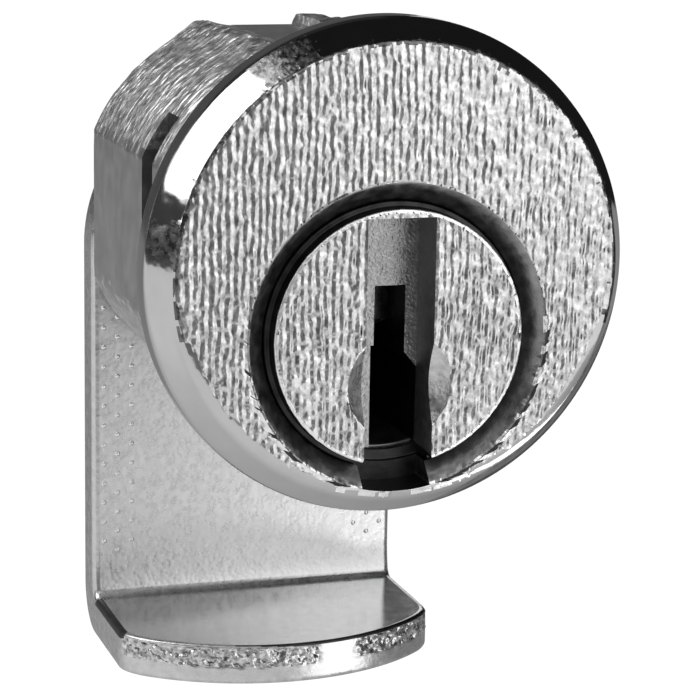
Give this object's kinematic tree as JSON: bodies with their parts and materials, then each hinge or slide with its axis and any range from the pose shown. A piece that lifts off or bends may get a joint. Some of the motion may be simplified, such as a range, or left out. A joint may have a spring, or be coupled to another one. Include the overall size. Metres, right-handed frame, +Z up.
{
  "type": "mailbox lock",
  "caption": "Cylinder cam lock for a mailbox door: round head, double-D barrel, pin tumbler plug with an upright keyway, and a bent cam with a forward tab.",
  "frame": {"origin": "centre of the back face of the head, on the barrel axis, where the outside of the door skin ends", "axes": "+Y from the head into the door along the barrel, +Z up with the cam hanging down, +X to the right seen from the front"},
  "size_m": [0.0222, 0.0327, 0.0346],
  "materials": {
    "housing_plate": "nickel plate on a zinc casting, face brushed upright, bevel polished",
    "plug_plate": "nickel plate, face brushed upright",
    "pin_brass": "turned brass",
    "driver_metal": "turned nickel silver",
    "spring_wire": "bright spring wire",
    "cover_strip": "plated strip, staked at its sides",
    "clip_steel": "dark spring steel",
    "washer_steel": "zinc-plated steel",
    "cam_plate": "zinc-plated sheet with sheared edges",
    "nut_steel": "zinc-plated nut"
  },
  "bodies": {
    "housing": {"lock_body": "housing_plate", "chamber_cover": "cover_strip", "pin_spring_1": "spring_wire", "pin_spring_2": "spring_wire", "pin_spring_3": "spring_wire", "pin_spring_4": "spring_wire", "pin_spring_5": "spring_wire"},
    "core": {"plug": "plug_plate", "plug_clip": "clip_steel", "stop_washer": "washer_steel", "cam": "cam_plate", "lock_washer": "washer_steel", "cam_nut": "nut_steel"},
    "lower_pin_1": {"key_pin_1": "pin_brass"},
    "upper_pin_1": {"driver_pin_1": "driver_metal"},
    "lower_pin_2": {"key_pin_2": "pin_brass"},
    "upper_pin_2": {"driver_pin_2": "driver_metal"},
    "lower_pin_3": {"key_pin_3": "pin_brass"},
    "upper_pin_3": {"driver_pin_3": "driver_metal"},
    "lower_pin_4": {"key_pin_4": "pin_brass"},
    "upper_pin_4": {"driver_pin_4": "driver_metal"},
    "lower_pin_5": {"key_pin_5": "pin_brass"},
    "upper_pin_5": {"driver_pin_5": "driver_metal"}
  },
  "joints": [
    {"name": "plug_turn", "type": "hinge", "parent": "housing", "child": "core", "pos_m": [0, 0, -0.00283], "axis": [0, 1, 0], "range_deg": [0, 90]},
    {"name": "key_pin_1_lift", "type": "slide", "parent": "core", "child": "lower_pin_1", "axis": [0, 0, 1], "range_m": [0, 0.00178]},
    {"name": "driver_pin_1_lift", "type": "slide", "parent": "housing", "child": "upper_pin_1", "axis": [0, 0, 1], "range_m": [0, 0.0009], "stiffness_N_per_m": 150, "springref_m": -0.001, "deforming": ["pin_spring_1"]},
    {"name": "key_pin_2_lift", "type": "slide", "parent": "core", "child": "lower_pin_2", "axis": [0, 0, 1], "range_m": [0, 0.00078]},
    {"name": "driver_pin_2_lift", "type": "slide", "parent": "housing", "child": "upper_pin_2", "axis": [0, 0, 1], "range_m": [0, 0.0009], "stiffness_N_per_m": 150, "springref_m": -0.001, "deforming": ["pin_spring_2"]},
    {"name": "key_pin_3_lift", "type": "slide", "parent": "core", "child": "lower_pin_3", "axis": [0, 0, 1], "range_m": [0, 0.00138]},
    {"name": "driver_pin_3_lift", "type": "slide", "parent": "housing", "child": "upper_pin_3", "axis": [0, 0, 1], "range_m": [0, 0.0009], "stiffness_N_per_m": 150, "springref_m": -0.001, "deforming": ["pin_spring_3"]},
    {"name": "key_pin_4_lift", "type": "slide", "parent": "core", "child": "lower_pin_4", "axis": [0, 0, 1], "range_m": [0, 0.00048]},
    {"name": "driver_pin_4_lift", "type": "slide", "parent": "housing", "child": "upper_pin_4", "axis": [0, 0, 1], "range_m": [0, 0.0009], "stiffness_N_per_m": 150, "springref_m": -0.001, "deforming": ["pin_spring_4"]},
    {"name": "key_pin_5_lift", "type": "slide", "parent": "core", "child": "lower_pin_5", "axis": [0, 0, 1], "range_m": [0, 0.00158]},
    {"name": "driver_pin_5_lift", "type": "slide", "parent": "housing", "child": "upper_pin_5", "axis": [0, 0, 1], "range_m": [0, 0.0009], "stiffness_N_per_m": 150, "springref_m": -0.001, "deforming": ["pin_spring_5"]}
  ]
}
